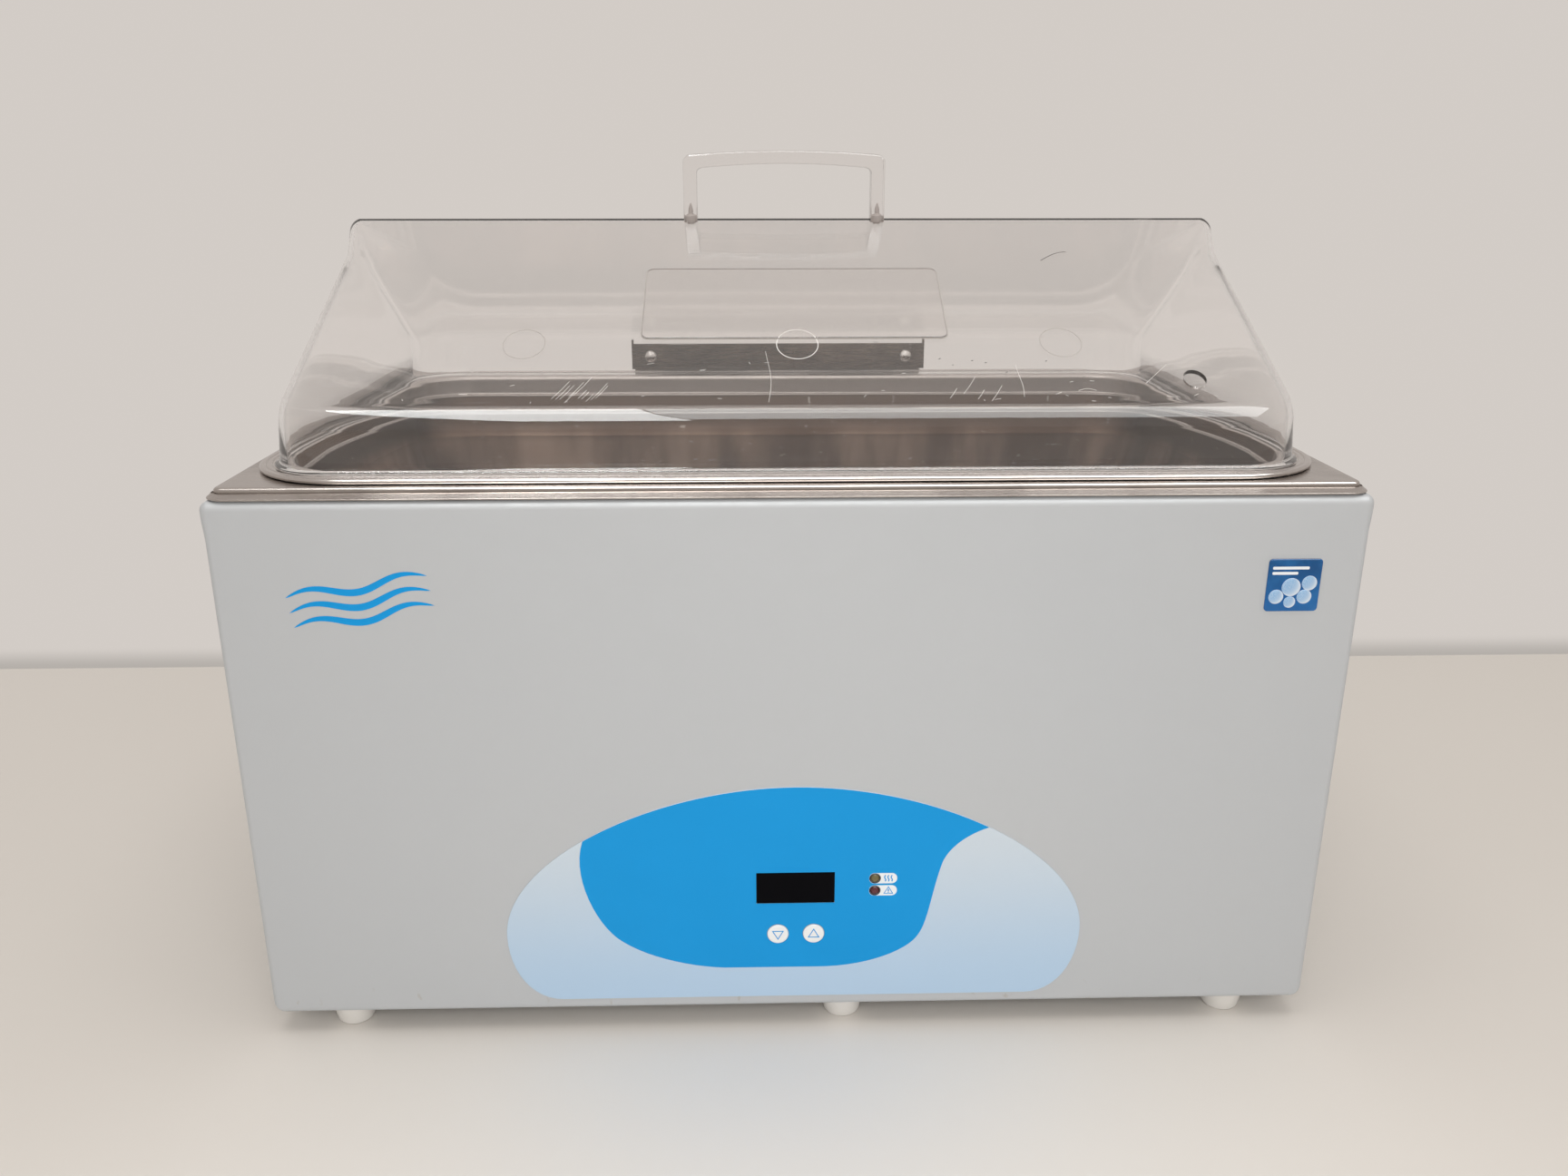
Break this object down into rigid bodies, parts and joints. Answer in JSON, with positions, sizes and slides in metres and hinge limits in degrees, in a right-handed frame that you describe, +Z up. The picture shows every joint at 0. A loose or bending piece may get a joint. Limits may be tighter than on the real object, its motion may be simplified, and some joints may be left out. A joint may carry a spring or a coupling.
{
  "type": "water bath",
  "caption": "Laboratory water bath: painted case, steel tank with a shelf, hinged clear gabled lid with a handle, front control panel, rear mains switch and drain tap.",
  "frame": {"origin": "on the table, under the middle of the whole object's box", "axes": "+X to the right seen from the front, along the long side; +Y towards the back, where the tap and the inlet are; +Z up"},
  "size_m": [0.5492, 0.3854, 0.4451],
  "materials": {
    "case_paint": "light grey powder coat, satin",
    "steel": "pressed stainless steel, semi-bright",
    "zinc": "zinc-plated steel",
    "heatsink": "plain extruded",
    "lid_plastic": "clear moulded plastic, scratched by use",
    "foot_rubber": "off-white rubber",
    "fascia": "printed film, blue on pale grey",
    "window": "dark display filter",
    "button": "white",
    "lamp": "unlit tinted lens",
    "badge": "domed label",
    "black_plastic": "moulded black",
    "circuit_board": "green board",
    "insulation": "mineral wool",
    "silicone": "red-brown silicone mat",
    "brass": "turned brass",
    "wire": "sleeved cable"
  },
  "bodies": {
    "root": {"alarm_lamp": "lamp", "base_insulation": "insulation", "base_plate": "zinc", "base_screw_1": "zinc", "base_screw_2": "zinc", "base_screw_3": "zinc", "base_screw_4": "zinc", "bracket_screw_1": "zinc", "bracket_screw_2": "zinc", "corner_badge": "badge", "display_board": "circuit_board", "display_module": "black_plastic", "display_window": "window", "drain_pipe": "steel", "drain_tap_body": "brass", "fascia_overlay": "fascia", "foot_1": "foot_rubber", "foot_2": "foot_rubber", "foot_3": "foot_rubber", "foot_4": "foot_rubber", "foot_5": "foot_rubber", "foot_6": "foot_rubber", "fuse_drawer": "black_plastic", "heater_cable": "wire", "heater_lamp": "lamp", "heater_mat": "silicone", "hinge_bracket": "steel", "hinge_pin": "zinc", "inlet_pin_earth": "brass", "inlet_pin_live": "brass", "inlet_pin_neutral": "brass", "mains_cable": "wire", "mains_inlet": "black_plastic", "outer_case": "case_paint", "over_temperature_cutout": "black_plastic", "perforated_shelf": "steel", "power_board": "circuit_board", "probe_cable": "black_plastic", "rim_seal": "foot_rubber", "signal_cable": "wire", "switch_down": "black_plastic", "switch_up": "black_plastic", "tank": "steel", "tank_insulation": "insulation", "temperature_probe": "steel", "terminal_block": "black_plastic", "top_plate": "steel", "transformer": "black_plastic", "triac_heatsink": "heatsink"},
    "lid": {"lid_shell": "lid_plastic", "lid_handle": "lid_plastic", "handle_screw_1": "zinc", "handle_screw_2": "zinc", "hinge_leaf": "steel", "leaf_screw_1": "zinc", "leaf_screw_2": "zinc"},
    "button_up": {"button_up": "button"},
    "button_down": {"button_down": "button"},
    "power_rocker": {"power_rocker": "black_plastic"},
    "drain_tap_lever": {"drain_tap_lever": "black_plastic"}
  },
  "joints": [
    {"name": "lid_hinge", "type": "hinge", "parent": "root", "child": "lid", "pos_m": [0, 0.14515, 0.3045], "axis": [-1, 0, 0], "range_deg": [0, 100]},
    {"name": "button_down_slide", "type": "slide", "parent": "root", "child": "button_down", "axis": [0, 1, 0], "range_m": [0, 0.0005], "stiffness_N_per_m": 1200, "springref_m": -0.0005},
    {"name": "button_up_slide", "type": "slide", "parent": "root", "child": "button_up", "axis": [0, 1, 0], "range_m": [0, 0.0005], "stiffness_N_per_m": 1200, "springref_m": -0.0005},
    {"name": "power_rocker_hinge", "type": "hinge", "parent": "root", "child": "power_rocker", "pos_m": [0.17, 0.15465, 0.0755], "axis": [1, 0, 0], "range_deg": [0, 16]},
    {"name": "drain_lever_hinge", "type": "hinge", "parent": "root", "child": "drain_tap_lever", "pos_m": [-0.15, 0.17065, 0.05], "axis": [0, 0, 1], "range_deg": [0, 90]}
  ]
}
